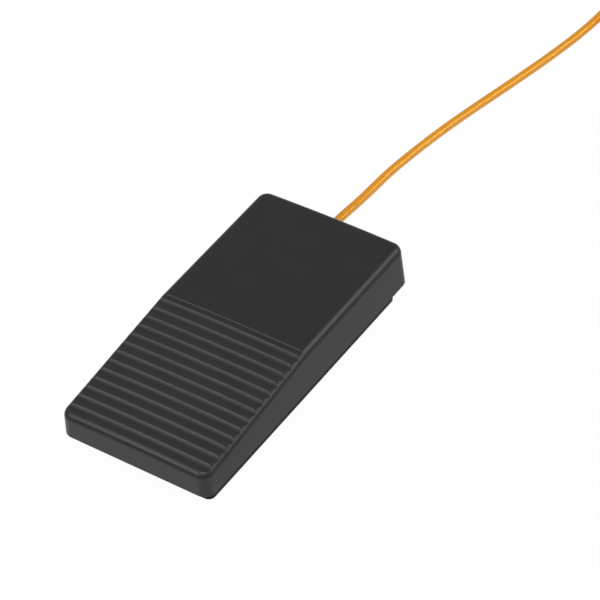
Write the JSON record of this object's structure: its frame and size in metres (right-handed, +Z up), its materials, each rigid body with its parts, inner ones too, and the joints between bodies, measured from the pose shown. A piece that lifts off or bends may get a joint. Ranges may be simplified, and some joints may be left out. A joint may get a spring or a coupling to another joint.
{
  "type": "foot switch",
  "caption": "Low wedge-shaped foot switch with a ribbed hinged pedal cover over a tray, a spring return, a snap-action switch inside and a thin cord to a jack plug.",
  "frame": {"origin": "on the floor under the middle of the pedal's outline, without the cord", "axes": "+Z up, +Y from the toe end to the hinge and cord end, +X to the right seen from the toe end"},
  "size_m": [0.1012, 0.3449, 0.0257],
  "materials": {
    "pedal": "fine satin moulded grain",
    "tray": "moulded",
    "pin_steel": "ground rod",
    "spring_steel": "drawn wire",
    "screw_steel": "zinc plated",
    "lever_steel": "rolled strip",
    "switch_case": "moulded",
    "plunger": "moulded",
    "terminal_brass": "stamped",
    "relief_rubber": "moulded",
    "foot_rubber": "moulded",
    "cord_jacket": "smooth extruded jacket",
    "lead_jacket": "extruded",
    "tie": "woven hook and loop",
    "plug_moulding": "moulded",
    "plug_metal": "nickel plated",
    "plug_band": "moulded"
  },
  "bodies": {
    "base": {"base_tray": "tray", "hinge_pin": "pin_steel", "return_spring_left": "spring_steel", "return_spring_right": "spring_steel", "switch_body": "switch_case", "switch_cover": "switch_case", "lever_pin": "pin_steel", "switch_screws": "screw_steel", "terminal_common": "terminal_brass", "terminal_open": "terminal_brass", "terminal_closed": "terminal_brass", "cord_clamp": "tray", "clamp_screws": "screw_steel", "strain_relief": "relief_rubber", "lead_common": "lead_jacket", "lead_switched": "lead_jacket", "foot_front_left": "foot_rubber", "foot_front_right": "foot_rubber", "foot_rear_left": "foot_rubber", "foot_rear_right": "foot_rubber", "cord": "cord_jacket", "cord_coil": "cord_jacket", "coil_tie": "tie", "cord_tail": "cord_jacket", "plug_grip": "plug_moulding", "plug_sleeve": "plug_metal", "plug_insulator": "plug_band", "plug_tip": "plug_metal"},
    "pedal": {"pedal_cover": "pedal"},
    "lever": {"switch_lever": "lever_steel"},
    "plunger": {"switch_plunger": "plunger"}
  },
  "joints": [
    {"name": "pedal_hinge", "type": "hinge", "parent": "base", "child": "pedal", "pos_m": [0, 0.05, 0.013], "axis": [1, 0, 0], "range_deg": [0, 2.2], "stiffness_Nm_per_rad": 16, "springref_deg": -1.43, "deforming": ["return_spring_left", "return_spring_right"]},
    {"name": "lever_hinge", "type": "hinge", "parent": "base", "child": "lever", "pos_m": [0, 0.026, 0.01765], "axis": [1, 0, 0], "range_deg": [0, 5.4]},
    {"name": "plunger_slide", "type": "slide", "parent": "base", "child": "plunger", "axis": [0, 0, -1], "range_m": [0, 0.000503]}
  ],
  "couplings": [
    {"joint": "lever_hinge", "follows": "pedal_hinge", "ratio": 2.4112},
    {"joint": "plunger_slide", "follows": "pedal_hinge", "m_per_rad": 0.012574}
  ]
}
